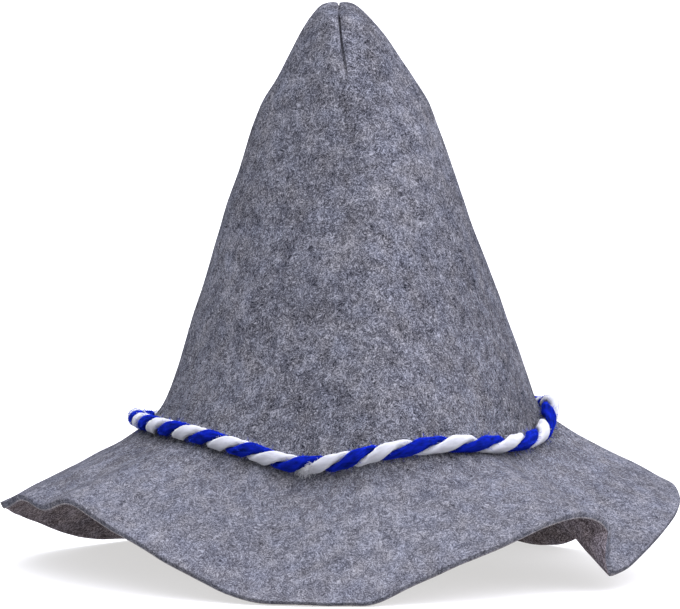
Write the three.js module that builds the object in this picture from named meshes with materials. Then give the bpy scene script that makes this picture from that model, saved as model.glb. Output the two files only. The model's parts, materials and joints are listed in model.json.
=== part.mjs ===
// Alpine hat: a tall felt cone with a pinched tip and a floppy wavy brim, moulded in one piece,
// and a twisted cord of two wool strands lying round the foot of the crown.
// Millimetres, +Z up. The hat faces -Y and rests on the plane z = 0.

import * as THREE from 'three';

// Felt wall
const FELT = 3.0;
const PRESSED_FELT = 2.0;      // what is left of the wall at the rim where the hat's weight presses it
const RIM_LEVEL = 1.9;         // the upper edge of the rim stands this far above its lower edge
const BRIM_CURVE = 1.12;       // above 1 the brim leaves the crown steeply and flattens outwards
const SECTION_POINT = 1.14;    // above 1 the crown's oval is drawn to a soft fold in front and behind
const FOLD_ROUNDING = 3.0;     // the radius that the crest of each fold is rounded to, roughly
const FOLD_SPREAD = 0.45;      // how far a fold's ridge spreads, as a share of the way to the side
const GROOVE_OUTSIDE = 0.7;    // half width of the pinched crease at the tip
const GROOVE_INSIDE = 5.0;     // half width of the doubled felt that hangs inside it
const LIP_WIDTH = 7.0;         // how far from the crease its rounded lips begin
const LIP_DEPTH = 0.42;        // how deep the lips draw in, as a share of the pinch

// Cord
const STRAND_RADIUS = 1.78;
const TWIST_RADIUS = 2.16;     // from the cord's centre line to each strand's own centre line
const CORD_CLEARANCE = 0.9;
const CORD_TILT = 40;          // degrees above level, from the seat on the felt to the cord's centre
const TANGENT_STEP = 0.5;      // degrees on either side, to find which way the seat runs
const STRAND_STEPS = 200;
const STRAND_SIDES = 6;

// Azimuths are in degrees from the front of the hat, positive towards +X.
const MERIDIAN_STEP = 6;
const FINE_STEP = 3;
const FINE_ZONES = [
  { from: -180, to: -174 },    // the crease at the back of the tip
  { from: -84, to: -48 },      // the small waves beside the left tip
  { from: -6, to: 6 },         // the crease at the front of the tip
  { from: 36, to: 60 },        // the steep fold right of the front
  { from: 174, to: 180 },      // the crease at the back of the tip, from its other side
];

// The crown, a row per section from the cord's seat to the tip. left, right, front and back are
// measured from the crown's axis, and fold is where the front and back folds lie across it. ridge lifts
// the folds, dip lowers the section's front and back ends, and pinch draws them in as the tip's crease.
const CROWN = [
  { z: 61.0, left: 89.8, right: 83.8, front: 105.5, back: 106.0, fold: 8.0, ridge: 3, dip: 0, pinch: 0 },
  { z: 69.0, left: 82.5, right: 80.7, front: 101.0, back: 102.0, fold: 11.0, ridge: 4.6, dip: 0, pinch: 0 },
  { z: 78.0, left: 78.3, right: 78.0, front: 96.4, back: 98.0, fold: 12.4, ridge: 4.8, dip: 0, pinch: 0 },
  { z: 95.0, left: 73.0, right: 72.4, front: 87.5, back: 89.5, fold: 12.6, ridge: 4.6, dip: 0, pinch: 0 },
  { z: 117.0, left: 66.6, right: 65.0, front: 76.3, back: 78.5, fold: 11.6, ridge: 4.2, dip: 0, pinch: 0 },
  { z: 139.0, left: 59.9, right: 57.5, front: 65.4, back: 67.6, fold: 11.0, ridge: 3.7, dip: 0, pinch: 0 },
  { z: 161.0, left: 53.0, right: 49.9, front: 54.9, back: 57.0, fold: 10.6, ridge: 3.2, dip: 0, pinch: 0 },
  { z: 178.0, left: 47.4, right: 43.7, front: 47.2, back: 49.2, fold: 8.8, ridge: 2.8, dip: 0, pinch: 0 },
  { z: 196.0, left: 41.5, right: 37.3, front: 39.6, back: 41.4, fold: 4.6, ridge: 2.4, dip: 0, pinch: 0 },
  { z: 204.5, left: 39.1, right: 35.4, front: 36.4, back: 38.0, fold: 2.2, ridge: 2.2, dip: 0, pinch: 0 },
  { z: 213.0, left: 33.0, right: 28.6, front: 33.8, back: 35.0, fold: -0.4, ridge: 1.8, dip: 0, pinch: 0 },
  { z: 222.0, left: 28.0, right: 22.7, front: 31.4, back: 32.2, fold: -2.0, ridge: 0.8, dip: 0, pinch: 3.0 },
  { z: 231.0, left: 23.6, right: 16.6, front: 28.8, back: 29.2, fold: -3.2, ridge: 0, dip: 0.5, pinch: 4.5 },
  { z: 239.5, left: 18.4, right: 9.6, front: 25.5, back: 25.8, fold: -4.0, ridge: 0, dip: 2.0, pinch: 5.0 },
  { z: 244.6, left: 14.2, right: 4.8, front: 22.0, back: 22.2, fold: -4.4, ridge: 0, dip: 3.5, pinch: 5.0 },
  { z: 246.8, left: 11.6, right: 1.7, front: 19.5, back: 19.5, fold: -4.6, ridge: 0, dip: 4.0, pinch: 4.0 },
  { z: 247.5, left: 7.8, right: -1.4, front: 16.5, back: 16.5, fold: -4.6, ridge: 0, dip: 4.0, pinch: 2.0 },
  { z: 247.4, left: 5.6, right: -3.6, front: 13.5, back: 13.5, fold: -4.6, ridge: 0, dip: 3.8, pinch: 0 },
  { z: 247.0, left: 4.9, right: -4.3, front: 12.5, back: 12.5, fold: -4.6, ridge: 0, dip: 3.6, pinch: 0 },
];
const CREASE_ROWS = 5;         // the last rows of the crown, which only its outside has
const ROOF = {
  z: 240.6, left: 6.4, right: -2.8, front: 12.0, back: 12.0, fold: -4.6, ridge: 0, dip: 3.0, pinch: 0,
};
const LEVEL_FROM = 140;        // sections above this height are level, lower ones follow the seat

// The line round the foot of the crown where the cord lies.
const SEAT = [
  { azimuth: -90, height: 62.4 },
  { azimuth: -70, height: 63.0 },
  { azimuth: -51, height: 62.0 },
  { azimuth: -35, height: 57.8 },
  { azimuth: -21, height: 52.6 },
  { azimuth: -11, height: 53.8 },
  { azimuth: 1, height: 58.0 },
  { azimuth: 16, height: 60.2 },
  { azimuth: 30, height: 60.4 },
  { azimuth: 50, height: 57.6 },
  { azimuth: 71, height: 58.2 },
  { azimuth: 80, height: 62.6 },
  { azimuth: 89, height: 69.0 },
  { azimuth: 102, height: 66.2 },
  { azimuth: 130, height: 63.0 },
  { azimuth: 180, height: 62.5 },
  { azimuth: 225, height: 58.0 },
  { azimuth: 250, height: 58.6 },
];

// The rim, a row per crest, trough or bend of the brim, read at its lower edge. swing turns the rim
// on from the azimuth where the brim leaves the crown. Heights below 0 are pressed flat on the floor.
const RIM = [
  { azimuth: -90, reach: 153.5, height: 26.8, swing: 0 },
  { azimuth: -84, reach: 153.2, height: 27.8, swing: 0 },
  { azimuth: -78, reach: 152.0, height: 31.0, swing: 0 },
  { azimuth: -72, reach: 150.6, height: 35.0, swing: 0 },
  { azimuth: -67, reach: 150.0, height: 34.6, swing: 0 },
  { azimuth: -62, reach: 149.5, height: 32.8, swing: 0 },
  { azimuth: -55.5, reach: 149.2, height: 38.2, swing: 0 },
  { azimuth: -51, reach: 149.0, height: 36.2, swing: 0 },
  { azimuth: -45, reach: 148.6, height: 29.8, swing: 0 },
  { azimuth: -35, reach: 148.0, height: 20.0, swing: 0 },
  { azimuth: -24.5, reach: 147.2, height: 7.4, swing: 0 },
  { azimuth: -18, reach: 147.5, height: 1.2, swing: 0 },
  { azimuth: -12, reach: 148.5, height: -3.0, swing: 0 },
  { azimuth: -4, reach: 149.0, height: -3.8, swing: 0 },
  { azimuth: 2, reach: 148.5, height: -1.6, swing: 0 },
  { azimuth: 8.5, reach: 147.5, height: 5.8, swing: 0 },
  { azimuth: 17, reach: 148.0, height: 16.6, swing: 0 },
  { azimuth: 27.5, reach: 150.0, height: 25.4, swing: 0 },
  { azimuth: 36, reach: 150.0, height: 33.4, swing: 0 },
  { azimuth: 41, reach: 149.5, height: 35.0, swing: 0 },
  { azimuth: 45, reach: 149.0, height: 32.4, swing: 0.8 },
  { azimuth: 47.5, reach: 148.5, height: 27.6, swing: 1.2 },
  { azimuth: 50, reach: 147.5, height: 18.0, swing: -1.8 },
  { azimuth: 53, reach: 147.5, height: 8.0, swing: -4.2 },
  { azimuth: 57, reach: 148.2, height: 8.4, swing: -4.2 },
  { azimuth: 63, reach: 149.2, height: 16.4, swing: -3 },
  { azimuth: 69, reach: 149.8, height: 25.8, swing: -1 },
  { azimuth: 75, reach: 148.8, height: 30.4, swing: 0 },
  { azimuth: 82, reach: 144.8, height: 33.6, swing: 0 },
  { azimuth: 90, reach: 138.8, height: 36.6, swing: 0 },
  { azimuth: 102, reach: 133.5, height: 32.8, swing: 0 },
  { azimuth: 120, reach: 124.0, height: 8.0, swing: 0 },
  { azimuth: 131, reach: 121.0, height: -3.4, swing: 0 },
  { azimuth: 143, reach: 125.0, height: -3.4, swing: 0 },
  { azimuth: 158, reach: 136.0, height: 7.0, swing: 0 },
  { azimuth: 182, reach: 143.0, height: 12.0, swing: 0 },
  { azimuth: 197, reach: 142.5, height: 4.4, swing: 0 },
  { azimuth: 206, reach: 142.0, height: -3.0, swing: 0 },
  { azimuth: 215, reach: 141.5, height: -3.6, swing: 0 },
  { azimuth: 223, reach: 141.5, height: 0.8, swing: 0 },
  { azimuth: 232, reach: 142.0, height: 2.6, swing: 0 },
  { azimuth: 240, reach: 143.5, height: 5.2, swing: 0 },
  { azimuth: 257, reach: 150.5, height: 19.2, swing: 0 },
];
// Rings of the brim, as shares of the way from the crown to the rim.
const BRIM_RINGS = [1, 0.96, 0.86, 0.7, 0.52, 0.34, 0.16];

// Turns of the cord's twist that lie between the first azimuth and this one.
const TWIST = [
  { azimuth: -84, turns: 0 },
  { azimuth: -69, turns: 1.32 },
  { azimuth: -51, turns: 2.72 },
  { azimuth: -25, turns: 4.77 },
  { azimuth: 3, turns: 6.58 },
  { azimuth: 22, turns: 7.38 },
  { azimuth: 44, turns: 8.38 },
  { azimuth: 55, turns: 8.87 },
  { azimuth: 73, turns: 9.85 },
  { azimuth: 86, turns: 10.64 },
  { azimuth: 97, turns: 11.4 },
  { azimuth: 175, turns: 17.6 },
];
const CORD_TURNS = 25;
const WHITE_PHASE = -0.6;    // where in its turn the white strand is at the first azimuth

const radians = THREE.MathUtils.degToRad;

// Smooth periodic lookup of one column at an azimuth. rise is what the column gains in one full round.
function lookup(table, column, azimuth, rise = 0) {
  const count = table.length;
  const row = (i) => {
    const round = Math.floor(i / count);
    const entry = table[i - round * count];
    return { azimuth: entry.azimuth + 360 * round, value: entry[column] + rise * round };
  };
  const rounds = Math.floor((azimuth - table[0].azimuth) / 360);
  const at = azimuth - 360 * rounds;
  let i = 0;
  while (row(i + 1).azimuth <= at) i += 1;
  const [before, start, end, after] = [row(i - 1), row(i), row(i + 1), row(i + 2)];
  const span = end.azimuth - start.azimuth;
  const u = (at - start.azimuth) / span;
  const slopeIn = (end.value - before.value) / (end.azimuth - before.azimuth) * span;
  const slopeOut = (after.value - start.value) / (after.azimuth - start.azimuth) * span;
  const value = (2 * u ** 3 - 3 * u ** 2 + 1) * start.value + (u ** 3 - 2 * u ** 2 + u) * slopeIn
    + (3 * u ** 2 - 2 * u ** 3) * end.value + (u ** 3 - u ** 2) * slopeOut;
  return value + rise * rounds;
}

function meridianAzimuths() {
  const azimuths = [];
  let azimuth = -180;
  while (azimuth < 180) {
    azimuths.push(azimuth);
    const fine = FINE_ZONES.some((zone) => azimuth >= zone.from && azimuth < zone.to);
    azimuth += fine ? FINE_STEP : MERIDIAN_STEP;
  }
  return azimuths;
}

// One point of a crown section. groove is the half width of the pinch at its folds.
function crownPoint(section, azimuth, groove) {
  const sine = Math.sin(radians(azimuth));
  const cosine = Math.cos(radians(azimuth));
  const side = (sine < 0 ? -section.left : section.right) - section.fold;
  const across = side * Math.abs(sine) ** SECTION_POINT;
  const fromFold = Math.hypot(across, FOLD_ROUNDING) - FOLD_ROUNDING;
  const lift = section.ridge * Math.max(0, 1 - fromFold / (FOLD_SPREAD * Math.abs(side))) ** 2;
  const depth = (cosine < 0 ? section.back : section.front) * Math.abs(cosine) ** SECTION_POINT + lift;
  const slit = groove > 0 ? Math.max(0, 1 - Math.abs(across) / groove) : 0;
  const lip = groove > 0 ? LIP_DEPTH * Math.max(0, 1 - Math.abs(across) / LIP_WIDTH) ** 2 : 0;
  const drawn = section.pinch * Math.max(slit, lip);
  const follow = Math.max(0, (LEVEL_FROM - section.z) / (LEVEL_FROM - CROWN[0].z));
  const z = section.z - section.dip * cosine ** 2
    + follow * (lookup(SEAT, 'height', azimuth) - CROWN[0].z);
  return new THREE.Vector3(section.fold + across, -Math.sign(cosine) * Math.max(depth - drawn, 0), z);
}

function seatPoint(azimuth) {
  return crownPoint(CROWN[0], azimuth, 0);
}

function rimPoint(azimuth) {
  const turned = radians(azimuth + lookup(RIM, 'swing', azimuth));
  const reach = lookup(RIM, 'reach', azimuth);
  return new THREE.Vector3(
    reach * Math.sin(turned),
    -reach * Math.cos(turned),
    lookup(RIM, 'height', azimuth) + RIM_LEVEL,
  );
}

function brimPoint(share, azimuth) {
  const seat = seatPoint(azimuth);
  const rim = rimPoint(azimuth);
  const outward = share ** BRIM_CURVE;
  return new THREE.Vector3(
    THREE.MathUtils.lerp(seat.x, rim.x, outward),
    THREE.MathUtils.lerp(seat.y, rim.y, outward),
    THREE.MathUtils.lerp(seat.z, rim.z, share),
  );
}

// Outward normal at each point of a grid of rings, from its neighbours round the ring and up the wall.
function ringNormals(rings) {
  return rings.map((ring, r) => ring.map((_, m) => {
    const along = ring[(m + 1) % ring.length].clone().sub(ring.at(m - 1));
    const lower = rings[Math.max(r - 1, 0)][m];
    const upper = rings[Math.min(r + 1, rings.length - 1)][m];
    return along.cross(upper.clone().sub(lower)).normalize();
  }));
}

// Closed solid between an outer and an inner stack of rings. They share the rim band between their
// first rings, and each stack's last ring is closed by a flat filling.
function wallBetween(outer, inner) {
  const count = outer[0].length;
  const points = [...outer, ...inner].flat();
  const innerStart = outer.length * count;
  const faces = [];
  const band = (low, high, flip) => {
    for (let m = 0; m < count; m += 1) {
      const next = (m + 1) % count;
      const quad = [low + m, low + next, high + next, high + m];
      const [a, b, c, d] = flip ? quad.toReversed() : quad;
      faces.push(a, b, c, a, c, d);
    }
  };
  const fill = (ring, start, flip) => {
    const outline = ring.map((point) => new THREE.Vector2(point.x, point.y));
    THREE.ShapeUtils.triangulateShape(outline, []).forEach(([a, b, c]) => {
      faces.push(start + a, start + (flip ? c : b), start + (flip ? b : c));
    });
  };
  for (let r = 0; r < outer.length - 1; r += 1) band(r * count, (r + 1) * count, false);
  for (let r = 0; r < inner.length - 1; r += 1) {
    band(innerStart + r * count, innerStart + (r + 1) * count, true);
  }
  band(0, innerStart, true);
  fill(outer.at(-1), (outer.length - 1) * count, false);
  fill(inner.at(-1), innerStart + (inner.length - 1) * count, true);
  const geometry = new THREE.BufferGeometry().setFromPoints(points);
  geometry.setIndex(faces);
  geometry.computeVertexNormals();
  return geometry;
}

function feltBody() {
  const azimuths = meridianAzimuths();
  const brim = BRIM_RINGS.map((share) => azimuths.map((azimuth) => brimPoint(share, azimuth)));
  const crown = (groove) => CROWN.map((row) => azimuths.map((azimuth) => crownPoint(row, azimuth, groove)));

  const plain = [...brim, ...crown(0)];
  const normals = ringNormals(plain);
  const outer = [...brim, ...crown(GROOVE_OUTSIDE)];
  const keels = [...brim, ...crown(GROOVE_INSIDE)];
  const inner = keels.slice(0, -CREASE_ROWS).map((ring, r) => ring.map(
    (point, m) => point.clone().addScaledVector(normals[r][m], -FELT),
  ));
  inner.push(azimuths.map((azimuth) => crownPoint(ROOF, azimuth, 0)));

  // The floor flattens the felt under the rim.
  inner.flat().forEach((point) => { point.z = Math.max(point.z, 0); });
  outer.flat().forEach((point) => { point.z = Math.max(point.z, PRESSED_FELT); });
  return wallBetween(outer, inner);
}

// Centre line of the cord at an azimuth, and the level direction that points away from the crown there.
function cordAt(azimuth) {
  const tangent = seatPoint(azimuth + TANGENT_STEP).sub(seatPoint(azimuth - TANGENT_STEP));
  const outward = new THREE.Vector3(tangent.y, -tangent.x, 0).normalize();
  const stand = TWIST_RADIUS + STRAND_RADIUS + CORD_CLEARANCE;
  const centre = seatPoint(azimuth).addScaledVector(outward, stand * Math.cos(radians(CORD_TILT)));
  centre.z += stand * Math.sin(radians(CORD_TILT));
  return { centre, outward };
}

class TwistedStrand extends THREE.Curve {
  constructor(phase) {
    super();
    this.phase = phase;
  }

  getPoint(share) {
    const azimuth = TWIST[0].azimuth + 360 * share;
    const turned = 2 * Math.PI * (lookup(TWIST, 'turns', azimuth, CORD_TURNS) + this.phase);
    const { centre, outward } = cordAt(azimuth);
    centre.addScaledVector(outward, TWIST_RADIUS * Math.cos(turned));
    centre.z += TWIST_RADIUS * Math.sin(turned);
    return centre;
  }
}

function strand(phase) {
  return new THREE.TubeGeometry(new TwistedStrand(phase), STRAND_STEPS, STRAND_RADIUS, STRAND_SIDES, true);
}

function piece(name, geometry, colour, roughness) {
  const material = new THREE.MeshStandardMaterial({ color: colour, roughness, metalness: 0 });
  const mesh = new THREE.Mesh(geometry, material);
  mesh.name = name;
  return mesh;
}

const hat = new THREE.Group();
hat.add(piece('felt_body', feltBody(), '#83838f', 1.0));
hat.add(piece('cord_white', strand(WHITE_PHASE), '#e8e7f0', 0.9));
hat.add(piece('cord_blue', strand(WHITE_PHASE + 0.5), '#1726a8', 0.9));

// The origin is on the floor, under the middle of the hat's box.
const middle = new THREE.Box3().setFromObject(hat).getCenter(new THREE.Vector3());
hat.position.set(-middle.x, -middle.y, 0);

export default hat;
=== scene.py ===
# %% [markdown]
# # A felt alpine hat
#
# The hat is one moulded felt shell, a tall cone with a pinched tip that runs out into a floppy brim, and a
# twisted cord of two wool strands lies round the foot of the crown. The solid model already has the right
# size and form. This lesson keeps that form and adds what a solid can't show: soft curves, heathered
# fibres, fuzz, colour and light.

# %% Load the solid model
import json
import math

import bpy
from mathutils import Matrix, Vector
from mathutils.geometry import intersect_point_line
from mathutils.kdtree import KDTree

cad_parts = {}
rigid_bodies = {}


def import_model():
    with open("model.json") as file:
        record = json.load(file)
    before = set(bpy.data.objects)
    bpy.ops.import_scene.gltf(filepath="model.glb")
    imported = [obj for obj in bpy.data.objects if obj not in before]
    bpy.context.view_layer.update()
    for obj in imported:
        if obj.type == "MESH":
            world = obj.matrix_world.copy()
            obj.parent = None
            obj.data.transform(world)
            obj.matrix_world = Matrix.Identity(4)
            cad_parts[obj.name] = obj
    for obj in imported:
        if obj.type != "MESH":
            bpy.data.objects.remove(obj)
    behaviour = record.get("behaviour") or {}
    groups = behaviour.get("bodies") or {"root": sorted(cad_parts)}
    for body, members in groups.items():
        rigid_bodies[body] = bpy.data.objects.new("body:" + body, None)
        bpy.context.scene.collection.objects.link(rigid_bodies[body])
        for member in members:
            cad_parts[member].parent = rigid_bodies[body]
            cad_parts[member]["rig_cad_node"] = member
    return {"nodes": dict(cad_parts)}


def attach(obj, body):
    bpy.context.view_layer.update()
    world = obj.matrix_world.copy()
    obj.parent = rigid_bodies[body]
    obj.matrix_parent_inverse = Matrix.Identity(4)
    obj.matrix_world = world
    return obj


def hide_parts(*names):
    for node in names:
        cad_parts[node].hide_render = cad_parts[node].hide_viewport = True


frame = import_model()
MM = 0.001
CROWN_AXIS = Vector((4.67, 2.92, 0)) * MM
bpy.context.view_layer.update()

# %% [markdown]
# ## The camera
#
# The picture was taken from some way off through a long lens, a little above the brim, so the sides of the
# cone run straight and the brim is seen almost edge on. A camera can be placed by eye, but here its
# distance, its tilt and the size of one millimetre in the picture are known, and the lens follows from them.

# %% Place the camera
IMAGE_WIDTH = 680
PIXELS_PER_MM = 2.29
CAMERA_DISTANCE = 3600 * MM
LOOKING_DOWN = math.radians(4.9)
CAMERA_TARGET = CROWN_AXIS + Vector((-4.37, 0, 115.1)) * MM
SENSOR_WIDTH = 36.0

viewing = Vector((0, math.cos(LOOKING_DOWN), -math.sin(LOOKING_DOWN)))
bpy.ops.object.camera_add(
    location=CAMERA_TARGET - viewing * CAMERA_DISTANCE,
    rotation=(math.pi / 2 - LOOKING_DOWN, 0, 0),
)
camera = bpy.context.active_object
camera.name = "studio_camera"
camera.data.sensor_width = SENSOR_WIDTH
camera.data.lens = PIXELS_PER_MM / MM * CAMERA_DISTANCE * SENSOR_WIDTH / IMAGE_WIDTH
bpy.context.scene.camera = camera
print("lens, mm:", round(camera.data.lens, 1))

# %% [markdown]
# ## Two helpers for materials
#
# Colours are written as they look on a screen, as sRGB hex, and a shader wants linear light, so one
# function turns one into the other. The second adds a node, sets it and links it in one line.

# %% Helpers for materials
def linear(hex_colour):
    """An sRGB hex colour as the linear RGBA that a shader socket holds."""
    channels = [int(hex_colour[i:i + 2], 16) / 255 for i in (1, 3, 5)]
    lit = [c / 12.92 if c <= 0.04045 else ((c + 0.055) / 1.055) ** 2.4 for c in channels]
    return (*lit, 1.0)


def add_node(material, kind, inputs=None, **settings):
    """Adds a node to a material. inputs gives each socket a value, or another node's output to link."""
    tree = material.node_tree
    node = tree.nodes.new(kind)
    for name, value in settings.items():
        setattr(node, name, value)
    for socket, value in (inputs or {}).items():
        if isinstance(value, bpy.types.NodeSocket):
            tree.links.new(value, node.inputs[socket])
        else:
            node.inputs[socket].default_value = value
    return node


def new_material(name):
    """A material with only its Principled BSDF and output, and that shader node."""
    material = bpy.data.materials.new(name)
    material.use_nodes = True
    return material, material.node_tree.nodes["Principled BSDF"]


# %% [markdown]
# ## The felt's look
#
# Needled wool felt is a mat of crimped fibres a few hundredths of a millimetre thick, dyed in several greys
# and carded together. From a step away the eye sees heather: soft clouds where more pale or more dark wool
# went in, a fine grain, and short curly strokes of single fibres. Noise that is bent by a slower noise
# gives such strokes, because the bending draws its blots out in changing directions. The fibres are drawn
# about ten times as thick as real ones, since thinner ones would vanish in the picture. The wools aren't
# all dyed alike either, so a slow noise tints some places warmer and some cooler. Below the foot of the
# crown every shade is drawn nearer one pale shade, so the brim is paler and more even than the crown: this
# is painted light, for the stronger light that falls on the brim's upward-facing top.

# %% How to make a felt
CLOUD_SIZE = 34 * MM
MOTTLE_SIZE = 6 * MM
GRAIN_SIZE = 1.3 * MM
FIBRE_WIDTH = 0.55 * MM
CURL_SIZE = 5 * MM
CURL_REACH = 4.5 * MM
TINT_SIZE = 9 * MM

# Each layer of noise: its size, and how much it moves the shade away from the middle one.
LAYERS = {
    "clouds": (CLOUD_SIZE, 0.18),
    "mottle": (MOTTLE_SIZE, 0.42),
    "grain": (GRAIN_SIZE, 0.66),
    "fibres": (FIBRE_WIDTH, 1.25),
}
MIDDLE_SHADE = 0.5
DARK_SHADE = 0.2
PALE_SHADE = 0.8

# Painted light on the brim: from none at the foot of the crown to full at the brim's top, every shade is
# brought this much nearer to one pale shade, for the stronger light on the brim's upward-facing top.
BRIM_TOP = 50 * MM
CROWN_FOOT = 60 * MM
BRIM_PAINTED_LIGHT = 0.24
BRIM_PAINTED_LIGHT_SHADE = 0.64

WARM_TINT = "#fcfbf8"
WARM_UP_TO = 0.3
COOL_TINT = "#f4f8ff"
COOL_FROM = 0.7
NAP_DEPTH = 0.4 * MM
NAP_STRENGTH = 0.4
FELT_ROUGHNESS = 0.95


def needled_felt(name, dark, middle, pale):
    """A heathered wool felt. dark, middle and pale are the shades of its wools."""
    felt_wool, shader = new_material(name)
    place = add_node(felt_wool, "ShaderNodeTexCoord").outputs["Object"]
    curl = add_node(
        felt_wool, "ShaderNodeTexNoise", {"Vector": place, "Scale": 1 / CURL_SIZE, "Detail": 1.0}
    )
    curled = add_node(
        felt_wool, "ShaderNodeVectorMath",
        {0: curl.outputs["Color"], 1: (CURL_REACH,) * 3, 2: place}, operation="MULTIPLY_ADD",
    ).outputs[0]
    shade = MIDDLE_SHADE
    for size, weight in LAYERS.values():
        texture = add_node(
            felt_wool, "ShaderNodeTexNoise",
            {"Vector": curled, "Scale": 1 / size, "Detail": 2.0, "Roughness": 0.6},
        )
        centred = add_node(
            felt_wool, "ShaderNodeMath", {0: texture.outputs["Fac"], 1: 0.5}, operation="SUBTRACT"
        )
        shade = add_node(
            felt_wool, "ShaderNodeMath",
            {0: centred.outputs[0], 1: weight, 2: shade}, operation="MULTIPLY_ADD",
        ).outputs[0]
    # Painted light: below the foot of the crown every shade moves towards one pale shade, so the brim is
    # paler.
    height = add_node(felt_wool, "ShaderNodeSeparateXYZ", {0: place}).outputs["Z"]
    painted_brim_light = add_node(
        felt_wool, "ShaderNodeMapRange",
        {"Value": height, "From Min": CROWN_FOOT, "From Max": BRIM_TOP, "To Max": BRIM_PAINTED_LIGHT},
    ).outputs[0]
    shade_with_brim_light = add_node(felt_wool, "ShaderNodeMix", {0: painted_brim_light, 2: shade, 3: BRIM_PAINTED_LIGHT_SHADE}).outputs[0]
    heather = add_node(felt_wool, "ShaderNodeValToRGB", {"Fac": shade_with_brim_light})
    heather.color_ramp.elements[0].position = DARK_SHADE
    heather.color_ramp.elements[0].color = linear(dark)
    heather.color_ramp.elements[1].position = PALE_SHADE
    heather.color_ramp.elements[1].color = linear(pale)
    heather.color_ramp.elements.new(MIDDLE_SHADE).color = linear(middle)
    tinting = add_node(
        felt_wool, "ShaderNodeTexNoise", {"Vector": place, "Scale": 1 / TINT_SIZE, "Detail": 3.0}
    )
    tint = add_node(felt_wool, "ShaderNodeValToRGB", {"Fac": tinting.outputs["Fac"]})
    tint.color_ramp.elements[0].position = WARM_UP_TO
    tint.color_ramp.elements[0].color = linear(WARM_TINT)
    tint.color_ramp.elements[1].position = COOL_FROM
    tint.color_ramp.elements[1].color = linear(COOL_TINT)
    dyed = add_node(
        felt_wool, "ShaderNodeMixRGB",
        {"Fac": 1.0, "Color1": heather.outputs["Color"], "Color2": tint.outputs["Color"]},
        blend_type="MULTIPLY",
    )
    nap = add_node(
        felt_wool, "ShaderNodeBump", {"Height": shade, "Strength": NAP_STRENGTH, "Distance": NAP_DEPTH}
    )
    felt_wool.node_tree.links.new(dyed.outputs["Color"], shader.inputs["Base Color"])
    felt_wool.node_tree.links.new(nap.outputs["Normal"], shader.inputs["Normal"])
    shader.inputs["Roughness"].default_value = FELT_ROUGHNESS
    shader.inputs["Specular IOR Level"].default_value = 0.0
    print(name, len(felt_wool.node_tree.nodes), "nodes")
    return felt_wool


# %% [markdown]
# The outside was steamed and brushed. The cut edge is a copy of it painted a shade darker, painted shade for
# the rim's band that faces down and out, and along its lower side a thin pale line is a painted highlight.
# The inside is a browner copy of the felt, its colour painted for the warmer light under the brim.

# %% Make the felts of this hat
outside_felt = needled_felt("brushed_wool_felt", "#0e0e12", "#424248", "#737379")
# Painted shade: the cut edge is the outside felt made a shade darker.
edge_shade_felt = needled_felt("cut_edge_painted_shade", "#0e0e11", "#404046", "#6f6f75")
# Painted highlight: a paler felt for a thin line along the rim's lower side.
rim_highlight_felt = needled_felt("painted_rim_highlight", "#2c2b2c", "#625f61", "#8f8a8b")
# Painted light: the inside's browner tone stands for the warmer light under the brim, not another wool.
inside_painted_felt = needled_felt("inside_painted_light_felt", "#0c0a0b", "#4d4649", "#9a9196")

# %% [markdown]
# ## The felt shell
#
# Crown and brim are one piece of felt, pressed over a block while damp, so there is no seam between them.
# The shell could be modelled again from a cone, but the solid already holds every wave of the brim. A copy
# of it is merged, because a loaded solid is loose triangles, and its triangles are paired back into quads.
# A subdivision surface then rounds the facets away, while creased edges keep the cut rim crisp.

# %% Copy a solid as a mesh of quads
MERGE_REACH = 0.001 * MM


def copy_of_solid(node, name):
    """A merged copy of a solid with its triangles paired into quads, active and alone in the selection."""
    bpy.ops.object.select_all(action="DESELECT")
    solid = frame["nodes"][node]
    solid.select_set(True)
    bpy.context.view_layer.objects.active = solid
    bpy.ops.object.duplicate()
    piece = bpy.context.active_object
    piece.name = name
    piece.data.name = name
    piece.data.materials.clear()
    del piece["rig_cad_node"]
    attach(piece, "root")
    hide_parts(node)
    bpy.ops.object.mode_set(mode="EDIT")
    bpy.ops.mesh.select_all(action="SELECT")
    bpy.ops.mesh.remove_doubles(threshold=MERGE_REACH)
    bpy.ops.mesh.tris_convert_to_quads(face_threshold=math.pi, shape_threshold=math.pi)
    bpy.ops.mesh.select_all(action="DESELECT")
    bpy.ops.object.mode_set(mode="OBJECT")
    return piece


felt = copy_of_solid("felt_body", "felt_shell")
sides = [len(face.vertices) for face in felt.data.polygons]
print("felt shell:", sides.count(4), "quads and", sides.count(3), "triangles")

# %% [markdown]
# ### Rim, outside and inside
#
# The rim was cut with shears and shows a square edge as thick as the felt, and the pinch at the tip closes
# to a sharp line. Both are found by the angle between their faces and creased, so the subdivision surface
# rounds everything else and leaves those edges firm. A smaller angle then finds every face of the rim, and
# also a few in the brim's deep fold. From the highest face that looks down, the selection spreads as far
# as the rim, and that is the inside. The rim is only where outside and inside meet, so the faces that were
# found in the fold go back to the side that they lie on.

# %% Crease the cut rim and the pinched tip
CREASED_ANGLE = math.radians(48)
CUT_FIRMNESS = 0.75
bpy.ops.object.mode_set(mode="EDIT")
bpy.ops.mesh.select_mode(type="EDGE")
bpy.ops.mesh.edges_select_sharp(sharpness=CREASED_ANGLE)
print("creased edges:", felt.data.total_edge_sel)
bpy.ops.transform.edge_crease(value=CUT_FIRMNESS)
bpy.ops.mesh.select_all(action="DESELECT")
bpy.ops.object.mode_set(mode="OBJECT")

# %% Find the rim
OUTSIDE, EDGE, INSIDE, RIM_HIGHLIGHT = range(4)
for felt_kind in (outside_felt, edge_shade_felt, inside_painted_felt, rim_highlight_felt):
    felt.data.materials.append(felt_kind)

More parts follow.
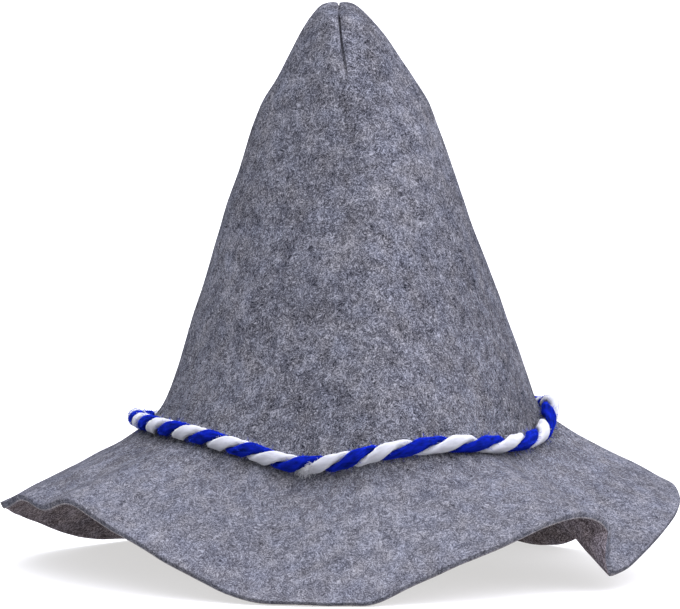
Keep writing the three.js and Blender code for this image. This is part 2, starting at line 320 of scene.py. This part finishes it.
RIM_ANGLE = math.radians(35)
RIM_REACH = 105 * MM
bpy.ops.object.mode_set(mode="EDIT")
bpy.ops.mesh.edges_select_sharp(sharpness=RIM_ANGLE)
bpy.ops.object.mode_set(mode="OBJECT")
bent = {edge.key for edge in felt.data.edges if edge.select}
print("bent edges:", len(bent))
# Faces of the rim take the edge felt with its painted shade.
for face in felt.data.polygons:
    reach = (face.center - CROWN_AXIS).xy.length
    if reach > RIM_REACH and sum(key in bent for key in face.edge_keys) >= 2:
        face.material_index = EDGE

# %% Give the inside its own copy of the felt, painted browner for the light under the brim
LOOKING_DOWNWARDS = -0.5
bpy.ops.object.mode_set(mode="EDIT")
bpy.ops.mesh.select_mode(type="FACE")
bpy.ops.mesh.select_all(action="DESELECT")
bpy.ops.object.mode_set(mode="OBJECT")
ceiling = [face for face in felt.data.polygons if face.normal.z < LOOKING_DOWNWARDS]
roof = max(ceiling, key=lambda face: face.center.z)
roof.select = True
bpy.ops.object.mode_set(mode="EDIT")
bpy.ops.mesh.select_linked(delimit={"MATERIAL"})
felt.active_material_index = INSIDE
bpy.ops.object.material_slot_assign()
bpy.ops.object.mode_set(mode="OBJECT")
touched = {OUTSIDE: set(), EDGE: set(), INSIDE: set()}
for face in felt.data.polygons:
    touched[face.material_index].update(face.vertices)
for face in felt.data.polygons:
    if face.material_index != EDGE:
        continue
    if not touched[INSIDE].intersection(face.vertices):
        face.material_index = OUTSIDE
    elif not touched[OUTSIDE].intersection(face.vertices):
        face.material_index = INSIDE
kinds = [face.material_index for face in felt.data.polygons]
print("outside, edge and inside faces:", [kinds.count(kind) for kind in (OUTSIDE, EDGE, INSIDE)])

# %% Round it off
ROUNDING_LEVELS = 2
bpy.ops.object.select_all(action="DESELECT")
felt.select_set(True)
rounding = felt.modifiers.new("rounding", "SUBSURF")
rounding.levels = ROUNDING_LEVELS
rounding.render_levels = ROUNDING_LEVELS
bpy.ops.object.modifier_apply(modifier=rounding.name)
bpy.ops.object.shade_smooth()
print("rounded shell:", len(felt.data.polygons), "faces")

# %% Paint a highlight along the rim's lower side
underside = {v for face in felt.data.polygons if face.material_index == INSIDE for v in face.vertices}
highlit_faces = 0
for face in felt.data.polygons:
    if face.material_index == EDGE and underside.intersection(face.vertices):
        face.material_index = RIM_HIGHLIGHT
        highlit_faces += 1
print("combed out faces:", highlit_faces)

# %% [markdown]
# ### Slight unevenness
#
# Felt keeps the prints of the hands that shaped it. A slow cloud texture moves every point sideways by a
# fraction of a millimetre. It moves points along X, Y and Z, not along the normals, so both sides of the
# wall move together and the felt keeps its thickness.

# %% Give the felt shallow dents
DENT_SIZE = 26 * MM
DENT_DEPTH = 1.6 * MM
dents = bpy.data.textures.new("felt_dents", "CLOUDS")
dents.noise_scale = DENT_SIZE
dents.cloud_type = "COLOR"
dents.noise_depth = 1
denting = felt.modifiers.new("denting", "DISPLACE")
denting.texture = dents
denting.texture_coords = "LOCAL"
denting.direction = "RGB_TO_XYZ"
denting.mid_level = 0.5
denting.strength = DENT_DEPTH
bpy.ops.object.modifier_apply(modifier=denting.name)
print("dents up to", round(DENT_DEPTH / 2 / MM, 1), "mm either way")

# %% [markdown]
# ## The cord
#
# Two soft wool strands, one blue and one white, are twisted into a cord that lies in the corner between
# crown and brim. In the solid each strand is a loop of small hexagons. Their middles give the strand's
# route, and a curve drawn along it with a round bevel makes a smooth strand whose thickness can change
# from point to point, as spun wool's does. Twisted wool squeezes itself flat where the strands touch, so
# the round strand is then pressed in towards the cord's middle and spreads sideways.

# %% Find a strand's route in its solid
RING_EDGE = 2.0 * MM


def strand_route(mesh):
    """The middles of the hexagons that a solid strand is made of, in order round the hat."""
    points = [vertex.co.copy() for vertex in mesh.vertices]
    ring_of = list(range(len(points)))
    for edge in mesh.edges:
        a, b = edge.vertices
        if (points[a] - points[b]).length < RING_EDGE and ring_of[a] != ring_of[b]:
            old, new = ring_of[a], ring_of[b]
            ring_of = [new if ring == old else ring for ring in ring_of]
    rings = {}
    for point, ring in zip(points, ring_of):
        rings.setdefault(ring, []).append(point)
    middles = [sum(ring, Vector()) / len(ring) for ring in rings.values()]
    return sorted(middles, key=lambda p: math.atan2(p.x - CROWN_AXIS.x, CROWN_AXIS.y - p.y))


def cord_middle(point, other_route):
    """The cord's own middle beside a point of one strand: half way to the other strand."""
    count = len(other_route)
    nearest = min(range(count), key=lambda i: (other_route[i] - point).length)
    sides = []
    for step in (-1, 1):
        start, end = other_route[nearest], other_route[(nearest + step) % count]
        _, share = intersect_point_line(point, start, end)
        sides.append(start.lerp(end, min(max(share, 0), 1)))
    return point.lerp(min(sides, key=lambda side: (side - point).length), 0.5)


# %% Draw the strands
STRAND_RADIUS = 2.35 * MM
TWIST_RADIUS = 1.85 * MM
PRESSED = 0.8
SPREAD = 1.22
BEVEL_STEPS = 4
STEPS_PER_RING = 4

# Two waves of the strand's thickness: the share of its radius, and the turn per ring in radians.
THICK_AND_THIN = ((0.04, 0.83), (0.03, 1.9))


def press_strand(mesh, middles, outward):
    """Presses a round strand flatter towards the cord's middle, so that it spreads sideways."""
    nearest = KDTree(len(middles))
    for i, (middle, direction) in enumerate(zip(middles, outward)):
        nearest.insert(middle + direction * TWIST_RADIUS, i)
    nearest.balance()
    for vertex in mesh.vertices:
        (_, i, _), (_, j, _) = nearest.find_n(vertex.co, 2)
        along = (middles[j] - middles[i]).normalized()
        share = min(max((vertex.co - middles[i]).dot(along) / (middles[j] - middles[i]).length, 0), 1)
        direction = outward[i].lerp(outward[j], share).normalized()
        centre = middles[i].lerp(middles[j], share) + direction * TWIST_RADIUS
        apart = vertex.co - centre
        height = apart.dot(direction)
        vertex.co = centre + direction * height * PRESSED + (apart - direction * height) * SPREAD


def wool_strand(node, name, route, other_route):
    """A closed wool strand along the route of a solid one, as a mesh pressed against its neighbour."""
    middles = [cord_middle(point, other_route) for point in route]
    outward = [(point - middle).normalized() for point, middle in zip(route, middles)]
    curve = bpy.data.curves.new(name, "CURVE")
    curve.dimensions = "3D"
    curve.bevel_depth = STRAND_RADIUS
    curve.bevel_resolution = BEVEL_STEPS
    spline = curve.splines.new("NURBS")
    spline.points.add(len(route) - 1)
    for i, point in enumerate(spline.points):
        point.co = (*(middles[i] + outward[i] * TWIST_RADIUS), 1)
        point.radius = sum((share * math.sin(pace * i) for share, pace in THICK_AND_THIN), 1.0)
    spline.use_cyclic_u = True
    spline.order_u = 3
    spline.resolution_u = STEPS_PER_RING
    strand = bpy.data.objects.new(name, curve)
    bpy.context.collection.objects.link(strand)
    bpy.ops.object.select_all(action="DESELECT")
    strand.select_set(True)
    bpy.context.view_layer.objects.active = strand
    bpy.ops.object.convert(target="MESH")
    bpy.ops.object.shade_smooth()
    strand = bpy.context.active_object
    press_strand(strand.data, middles, outward)
    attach(strand, "root")
    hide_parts(node)
    print(name, len(route), "rings,", len(strand.data.polygons), "faces")
    return strand


routes = {}
for node in ("cord_blue", "cord_white"):
    solid_copy = copy_of_solid(node, node + "_route")
    routes[node] = strand_route(solid_copy.data)
    bpy.ops.object.delete()
blue_strand = wool_strand("cord_blue", "blue_strand", routes["cord_blue"], routes["cord_white"])
white_strand = wool_strand("cord_white", "white_strand", routes["cord_white"], routes["cord_blue"])

# %% [markdown]
# ### Spun wool
#
# The strands are loosely spun wool. Their fibres run along the strand with a slight turn, so light and dark
# streaks follow it, and the surface has no gloss at all. Light also gets a few millimetres into the loose
# wool and comes out beside, which softens its shading. The curve gave each strand a UV map, along it and
# round it, and noise stretched along the first makes the streaks.

# %% Make the wool materials
WOOL = {
    "blue_spun_wool": (blue_strand, "#040a36", "#07126c"),
    "white_spun_wool": (white_strand, "#7b7c81", "#86878c"),
}
STREAKS_ALONG = 160
STREAKS_ROUND = 9
DARK_UP_TO = 0.3
LIGHT_FROM = 0.62
RIDGE_DEPTH = 0.4 * MM
RIDGE_STRENGTH = 0.6
WOOL_ROUGHNESS = 0.9
LIGHT_REACH = 2.4 * MM
for wool_name, (strand, dark, light) in WOOL.items():
    wool, wool_shader = new_material(wool_name)
    along = add_node(wool, "ShaderNodeTexCoord").outputs["UV"]
    stretched = add_node(
        wool, "ShaderNodeMapping", {"Vector": along, "Scale": (STREAKS_ALONG, STREAKS_ROUND, 1)}
    )
    streaks = add_node(
        wool, "ShaderNodeTexNoise", {"Vector": stretched.outputs[0], "Scale": 1.0, "Detail": 4.0}
    )
    tone = add_node(wool, "ShaderNodeValToRGB", {"Fac": streaks.outputs["Fac"]})
    tone.color_ramp.elements[0].position = DARK_UP_TO
    tone.color_ramp.elements[0].color = linear(dark)
    tone.color_ramp.elements[1].position = LIGHT_FROM
    tone.color_ramp.elements[1].color = linear(light)
    ridges = add_node(
        wool, "ShaderNodeBump",
        {"Height": streaks.outputs["Fac"], "Strength": RIDGE_STRENGTH, "Distance": RIDGE_DEPTH},
    )
    wool.node_tree.links.new(tone.outputs["Color"], wool_shader.inputs["Base Color"])
    wool.node_tree.links.new(ridges.outputs["Normal"], wool_shader.inputs["Normal"])
    wool_shader.inputs["Roughness"].default_value = WOOL_ROUGHNESS
    wool_shader.inputs["Specular IOR Level"].default_value = 0.0
    wool_shader.inputs["Subsurface Weight"].default_value = 1.0
    wool_shader.inputs["Subsurface Radius"].default_value = (1.0, 1.0, 1.0)
    wool_shader.inputs["Subsurface Scale"].default_value = LIGHT_REACH
    strand.data.materials.append(wool)
    print(wool_name, len(wool.node_tree.nodes), "nodes")

# %% [markdown]
# ## Loose fibres
#
# Wool is never quite clean at its edges: ends of fibres stand off the strands and lie across the felt. They
# could be painted on, but then the outline would stay hard. So hair is grown on each piece, turned into
# curves and given a thickness, because only a mesh is kept. The fibres are drawn a few times as thick as
# real ones, to show at all.

# %% Grow loose fibres on a piece
# A fibre grows in four steps. It is drawn with two doublings, which are four stretches.
FIBRE_STEPS = 4
FIBRE_DOUBLINGS = 2


def loose_fibres(piece, name, count, length, width, standing, curl, group="", pull=(0, 0, 0)):
    """Fibres that stand off a piece by their share standing and curl by their share curl, as one mesh.

    They grow all over the piece, or on one vertex group of it, and pull leans them one way.
    """
    bpy.ops.object.select_all(action="DESELECT")
    piece.select_set(True)
    bpy.context.view_layer.objects.active = piece
    bpy.ops.object.particle_system_add()
    growth = piece.modifiers[-1]
    hairs = growth.particle_system.settings
    hairs.type = "HAIR"
    hairs.count = count
    hairs.hair_step = FIBRE_STEPS
    hairs.display_step = FIBRE_DOUBLINGS
    speed = length / FIBRE_STEPS
    hairs.normal_factor = standing * speed
    hairs.factor_random = speed
    hairs.brownian_factor = curl * speed
    hairs.object_align_factor = [share * speed for share in pull]
    growth.particle_system.vertex_group_density = group
    bpy.ops.object.modifier_convert(modifier=growth.name)
    fibres = bpy.context.active_object
    piece.modifiers.remove(growth)
    fibres.name = name
    fibres.data.name = name
    bpy.ops.object.convert(target="CURVE")
    fibres.data.bevel_depth = width / 2
    fibres.data.bevel_resolution = 0
    bpy.ops.object.convert(target="MESH")
    bpy.ops.object.shade_smooth()
    fibres.data.materials.clear()
    fibres.data.materials.append(piece.data.materials[0])
    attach(fibres, "root")
    print(name, len(fibres.data.polygons), "faces")
    return fibres


# %% Fuzz on the cord and on the felt
# Each fuzz: the piece it grows on, its slot, how many fibres, their length and their width, and the
# shares by which they stand up and curl.
FUZZ = {
    "blue_fuzz": (blue_strand, "blue_wool", 3800, 1.7 * MM, 0.08 * MM, 0.35, 0.6),
    "white_fuzz": (white_strand, "white_wool", 1400, 1.1 * MM, 0.08 * MM, 0.3, 0.6),
    "felt_fuzz": (felt, "felt", 5000, 1.1 * MM, 0.07 * MM, 0.15, 0.8),
}
for fuzz_name, (piece, slot, count, length, width, standing, curl) in FUZZ.items():
    fuzz = loose_fibres(piece, fuzz_name, count, length, width, standing, curl)

# %% [markdown]
# The white wool was pieced together left of the front, and the end of it has frayed. It is a tuft of the
# same fibres, only longer and closer, that grow on one short stretch of the strand and lean down and to
# the left. A vertex group says where they grow.

# %% Fray the end of the white wool
FRAYED_FROM = -18 * MM
FRAYED_TO = -11 * MM
FACING_FRONT = -0.2
FACING_UP = 0.5
FRAYED_COUNT = 320
FRAYED_LENGTH = 1.9 * MM
FRAYED_WIDTH = 0.14 * MM
FRAYED_LEAN = (-0.15, -0.05, -0.3)
frayed_points = [
    vertex.index for vertex in white_strand.data.vertices
    if FRAYED_FROM < vertex.co.x < FRAYED_TO and vertex.co.y < CROWN_AXIS.y
    and vertex.normal.y < FACING_FRONT and vertex.normal.z < FACING_UP
]
frayed = white_strand.vertex_groups.new(name="frayed_end")
frayed.add(frayed_points, 1.0, "REPLACE")
frayed_end = loose_fibres(
    white_strand, "frayed_end", FRAYED_COUNT, FRAYED_LENGTH, FRAYED_WIDTH,
    standing=0.15, curl=0.3, group=frayed.name, pull=FRAYED_LEAN,
)
white_strand.vertex_groups.remove(frayed)

# %% [markdown]
# ## Floor and light
#
# The hat stands on white paper under large soft lamps. The paper is lit from below as well, as on a light
# table, so it stays white and the hat's shadow on it is only a pale grey. One broad cool lamp stands high
# on the right, so the brim is lighter than the crown, and the fold down the crown's front parts a lighter
# right side from a darker left one. A weaker lamp and the even light of the surroundings fill the shadows.

# %% Set up the studio
FLOOR_SIZE = 30
PAPER_GLOW = 0.63
SURROUND_LIGHT = 0.15
bpy.ops.object.select_all(action="DESELECT")
bpy.ops.mesh.primitive_plane_add(size=FLOOR_SIZE)
floor = bpy.context.active_object
floor.name = "paper_floor"
paper, paper_shader = new_material("white_paper")
paper_shader.inputs["Base Color"].default_value = linear("#9c9c9e")
paper_shader.inputs["Roughness"].default_value = 1.0
paper_shader.inputs["Specular IOR Level"].default_value = 0.0
paper_shader.inputs["Emission Color"].default_value = linear("#fefdfc")
paper_shader.inputs["Emission Strength"].default_value = PAPER_GLOW
floor.data.materials.append(paper)

surround = bpy.data.worlds.new("white_surround")
surround.use_nodes = True
surround.node_tree.nodes["Background"].inputs["Color"].default_value = linear("#ffffff")
surround.node_tree.nodes["Background"].inputs["Strength"].default_value = SURROUND_LIGHT
bpy.context.scene.world = surround

# Each lamp: its bearing from the front, positive to the right, its height, both in degrees,
# its width as seen from the hat in degrees, its strength and its colour.
LAMPS = {
    "key_lamp": (40, 58, 100, 8.8, (0.975, 0.965, 1.045)),
    "top_lamp": (-45, 82, 130, 4.4, (0.95, 0.98, 1.06)),
}
for lamp_name, (bearing, height, width, strength, colour) in LAMPS.items():
    bpy.ops.object.light_add(
        type="SUN", rotation=(math.radians(90 - height), 0, math.radians(bearing))
    )
    lamp = bpy.context.active_object
    lamp.name = lamp_name
    lamp.data.angle = math.radians(width)
    lamp.data.energy = strength
    lamp.data.color = colour
bpy.context.scene.view_settings.view_transform = "Standard"
print("lamps:", ", ".join(LAMPS))
